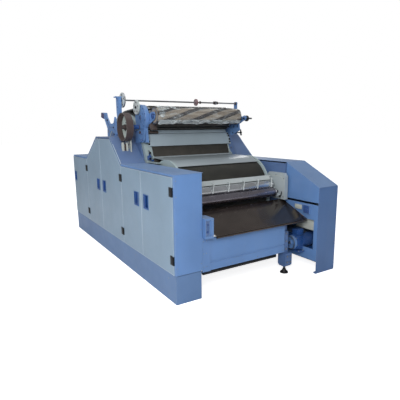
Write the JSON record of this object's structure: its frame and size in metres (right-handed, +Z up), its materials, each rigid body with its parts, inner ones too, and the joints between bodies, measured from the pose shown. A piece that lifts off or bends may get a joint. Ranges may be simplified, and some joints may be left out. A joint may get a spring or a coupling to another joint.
{
  "type": "revolving flat carding machine",
  "caption": "Carding machine with side cabinets, wire-clothed rollers, revolving flats, spiral brush, hinged doors and a sloping delivery tray.",
  "frame": {"origin": "bottom centre of the bounding box, on the floor", "axes": "+Z up; -Y towards the delivery end with the tray, +Y towards the feed end; X across the machine, -X the side with the drive wheel"},
  "size_m": [1.796, 3.286, 1.855],
  "materials": {
    "side_frames": "satin paint",
    "cross_rails": "satin paint",
    "cabinet_left": "satin paint",
    "cabinet_right": "satin paint",
    "hoods": "satin paint",
    "front_panel_left": "satin paint",
    "front_panel_right": "satin paint",
    "plinths": "satin paint",
    "hinges": "black enamel",
    "bends": "satin paint",
    "flats": "dark wire clothing",
    "front_plates": "satin grey paint",
    "casings": "satin paint",
    "guard_bar": "satin paint",
    "web_tray": "polished, darkened",
    "tray_bracket": "satin paint",
    "apron_panel": "satin paint",
    "bottom_pipe": "black enamel",
    "feed_table": "satin grey paint",
    "flats_casing": "satin paint",
    "top_brackets": "satin paint",
    "wheel_post": "satin paint",
    "gear_cover": "satin paint",
    "delivery_motor": "enamel",
    "main_motor": "enamel",
    "belts": "matt",
    "leveling_feet": "black enamel",
    "main_cylinder": "wire clothing",
    "doffer": "wire clothing",
    "licker_in": "wire clothing",
    "stripping_roller": "polished",
    "web_roller": "polished",
    "feed_roller": "turned",
    "brush_roller": "varnished",
    "drive_wheel": "worn",
    "top_shaft": "turned",
    "side_disc": "satin paint",
    "flats_carrier_front": "turned",
    "flats_carrier_rear": "turned",
    "motor_pulley": "turned",
    "delivery_pulley": "turned",
    "lever": "satin paint",
    "adjust_knob": "black enamel",
    "wing_nut": "black enamel",
    "doffer_cover": "satin grey paint",
    "door_l1": "fine textured paint",
    "door_l2": "fine textured paint",
    "door_l3": "fine textured paint",
    "door_l4": "fine textured paint",
    "door_l5": "fine textured paint",
    "pull_l1": "satin plastic",
    "pull_l2": "satin plastic",
    "pull_l3": "satin plastic",
    "pull_l4": "satin plastic",
    "pull_l5": "satin plastic",
    "door_r1": "fine textured paint",
    "door_r2": "fine textured paint",
    "door_r3": "fine textured paint",
    "door_r4": "fine textured paint",
    "door_r5": "fine textured paint"
  },
  "bodies": {
    "frame": {"side_frames": "side_frames", "cross_rails": "cross_rails", "cabinet_left": "cabinet_left", "cabinet_right": "cabinet_right", "hoods": "hoods", "front_panel_left": "front_panel_left", "front_panel_right": "front_panel_right", "plinths": "plinths", "hinges": "hinges", "bends": "bends", "flats": "flats", "front_plates": "front_plates", "casings": "casings", "guard_bar": "guard_bar", "web_tray": "web_tray", "tray_bracket": "tray_bracket", "apron_panel": "apron_panel", "bottom_pipe": "bottom_pipe", "feed_table": "feed_table", "flats_casing": "flats_casing", "top_brackets": "top_brackets", "wheel_post": "wheel_post", "gear_cover": "gear_cover", "delivery_motor": "delivery_motor", "main_motor": "main_motor", "belts": "belts", "leveling_feet": "leveling_feet"},
    "cylinder": {"main_cylinder": "main_cylinder"},
    "doffer": {"doffer": "doffer"},
    "licker_in": {"licker_in": "licker_in"},
    "stripping_roller": {"stripping_roller": "stripping_roller"},
    "web_roller": {"web_roller": "web_roller"},
    "feed_roller": {"feed_roller": "feed_roller"},
    "brush_roller": {"brush_roller": "brush_roller"},
    "drive_wheel": {"drive_wheel": "drive_wheel"},
    "top_shaft": {"top_shaft": "top_shaft"},
    "side_disc": {"side_disc": "side_disc"},
    "front_carrier": {"flats_carrier_front": "flats_carrier_front"},
    "rear_carrier": {"flats_carrier_rear": "flats_carrier_rear"},
    "motor_pulley": {"motor_pulley": "motor_pulley"},
    "delivery_pulley": {"delivery_pulley": "delivery_pulley"},
    "lever": {"lever": "lever"},
    "adjust_knob": {"adjust_knob": "adjust_knob"},
    "wing_nut": {"wing_nut": "wing_nut"},
    "doffer_cover": {"doffer_cover": "doffer_cover"},
    "door_l1": {"door_l1": "door_l1", "pull_l1": "pull_l1"},
    "door_r1": {"door_r1": "door_r1"},
    "door_l2": {"door_l2": "door_l2", "pull_l2": "pull_l2"},
    "door_r2": {"door_r2": "door_r2"},
    "door_l3": {"door_l3": "door_l3", "pull_l3": "pull_l3"},
    "door_r3": {"door_r3": "door_r3"},
    "door_l4": {"door_l4": "door_l4", "pull_l4": "pull_l4"},
    "door_r4": {"door_r4": "door_r4"},
    "door_l5": {"door_l5": "door_l5", "pull_l5": "pull_l5"},
    "door_r5": {"door_r5": "door_r5"}
  },
  "joints": [
    {"name": "cylinder_spin", "type": "hinge", "parent": "frame", "child": "cylinder", "pos_m": [0, 0.306, 0.99], "axis": [1, 0, 0], "continuous": true},
    {"name": "doffer_spin", "type": "hinge", "parent": "frame", "child": "doffer", "pos_m": [0, -0.669, 0.775], "axis": [1, 0, 0], "continuous": true},
    {"name": "licker_in_spin", "type": "hinge", "parent": "frame", "child": "licker_in", "pos_m": [0, 1.05984, 0.82967], "axis": [1, 0, 0], "continuous": true},
    {"name": "stripping_roller_spin", "type": "hinge", "parent": "frame", "child": "stripping_roller", "pos_m": [0, -1.06493, 0.85435], "axis": [1, 0, 0], "continuous": true},
    {"name": "web_roller_spin", "type": "hinge", "parent": "frame", "child": "web_roller", "pos_m": [0, -1.12893, 0.78035], "axis": [1, 0, 0], "continuous": true},
    {"name": "feed_roller_spin", "type": "hinge", "parent": "frame", "child": "feed_roller", "pos_m": [0, 1.22509, 0.8898], "axis": [1, 0, 0], "continuous": true},
    {"name": "brush_roller_spin", "type": "hinge", "parent": "frame", "child": "brush_roller", "pos_m": [0, -0.43, 1.591], "axis": [1, 0, 0], "continuous": true},
    {"name": "drive_wheel_spin", "type": "hinge", "parent": "frame", "child": "drive_wheel", "pos_m": [0, -0.155, 1.479], "axis": [1, 0, 0], "continuous": true},
    {"name": "top_shaft_spin", "type": "hinge", "parent": "frame", "child": "top_shaft", "pos_m": [0, 0.02, 1.774], "axis": [1, 0, 0], "continuous": true},
    {"name": "side_disc_spin", "type": "hinge", "parent": "frame", "child": "side_disc", "pos_m": [0, -0.135, 1.69], "axis": [1, 0, 0], "continuous": true},
    {"name": "front_carrier_spin", "type": "hinge", "parent": "frame", "child": "front_carrier", "pos_m": [0, -0.19975, 1.57591], "axis": [1, 0, 0], "continuous": true},
    {"name": "rear_carrier_spin", "type": "hinge", "parent": "frame", "child": "rear_carrier", "pos_m": [0, 0.8781, 1.43697], "axis": [1, 0, 0], "continuous": true},
    {"name": "motor_pulley_spin", "type": "hinge", "parent": "frame", "child": "motor_pulley", "pos_m": [0, 1.29, 0.42], "axis": [1, 0, 0], "continuous": true},
    {"name": "delivery_pulley_spin", "type": "hinge", "parent": "frame", "child": "delivery_pulley", "pos_m": [0, -1.4, 0.29], "axis": [1, 0, 0], "continuous": true},
    {"name": "adjust_knob_turn", "type": "hinge", "parent": "frame", "child": "adjust_knob", "pos_m": [0, -0.552, 1.566], "axis": [1, 0, 0], "continuous": true},
    {"name": "wing_nut_turn", "type": "hinge", "parent": "frame", "child": "wing_nut", "pos_m": [0, -0.33, 1.402], "axis": [1, 0, 0], "continuous": true},
    {"name": "lever_lift", "type": "hinge", "parent": "frame", "child": "lever", "pos_m": [-0.775, 0.092, 1.404], "axis": [1, 0, 0], "range_deg": [0, 30]},
    {"name": "doffer_cover_lift", "type": "hinge", "parent": "frame", "child": "doffer_cover", "pos_m": [0, -0.332, 1.153], "axis": [-1, 0, 0], "range_deg": [0, 60]},
    {"name": "door_l1_swing", "type": "hinge", "parent": "frame", "child": "door_l1", "pos_m": [-0.8915, -1.45, 0.65], "axis": [0, 0, 1], "range_deg": [0, 105]},
    {"name": "door_l2_swing", "type": "hinge", "parent": "frame", "child": "door_l2", "pos_m": [-0.8915, -0.322, 0.65], "axis": [0, 0, -1], "range_deg": [0, 90]},
    {"name": "door_l3_swing", "type": "hinge", "parent": "frame", "child": "door_l3", "pos_m": [-0.8915, -0.304, 0.65], "axis": [0, 0, 1], "range_deg": [0, 90]},
    {"name": "door_l4_swing", "type": "hinge", "parent": "frame", "child": "door_l4", "pos_m": [-0.8915, 0.943, 0.65], "axis": [0, 0, -1], "range_deg": [0, 90]},
    {"name": "door_l5_swing", "type": "hinge", "parent": "frame", "child": "door_l5", "pos_m": [-0.8915, 0.961, 0.65], "axis": [0, 0, 1], "range_deg": [0, 90]},
    {"name": "door_r1_swing", "type": "hinge", "parent": "frame", "child": "door_r1", "pos_m": [0.8915, -1.605, 0.65], "axis": [0, 0, -1], "range_deg": [0, 105]},
    {"name": "door_r2_swing", "type": "hinge", "parent": "frame", "child": "door_r2", "pos_m": [0.8915, -0.322, 0.65], "axis": [0, 0, 1], "range_deg": [0, 90]},
    {"name": "door_r3_swing", "type": "hinge", "parent": "frame", "child": "door_r3", "pos_m": [0.8915, -0.304, 0.65], "axis": [0, 0, -1], "range_deg": [0, 90]},
    {"name": "door_r4_swing", "type": "hinge", "parent": "frame", "child": "door_r4", "pos_m": [0.8915, 0.943, 0.65], "axis": [0, 0, 1], "range_deg": [0, 90]},
    {"name": "door_r5_swing", "type": "hinge", "parent": "frame", "child": "door_r5", "pos_m": [0.8915, 0.961, 0.65], "axis": [0, 0, -1], "range_deg": [0, 90]}
  ],
  "couplings": [
    {"joint": "licker_in_spin", "follows": "cylinder_spin", "ratio": -2.8226},
    {"joint": "motor_pulley_spin", "follows": "cylinder_spin", "ratio": 3},
    {"joint": "stripping_roller_spin", "follows": "doffer_spin", "ratio": -7.06},
    {"joint": "web_roller_spin", "follows": "doffer_spin", "ratio": 7.6739},
    {"joint": "feed_roller_spin", "follows": "doffer_spin", "ratio": -0.088},
    {"joint": "delivery_pulley_spin", "follows": "doffer_spin", "ratio": 6},
    {"joint": "front_carrier_spin", "follows": "drive_wheel_spin", "ratio": 0.05},
    {"joint": "rear_carrier_spin", "follows": "drive_wheel_spin", "ratio": 0.089344},
    {"joint": "brush_roller_spin", "follows": "drive_wheel_spin", "ratio": -0.3}
  ]
}
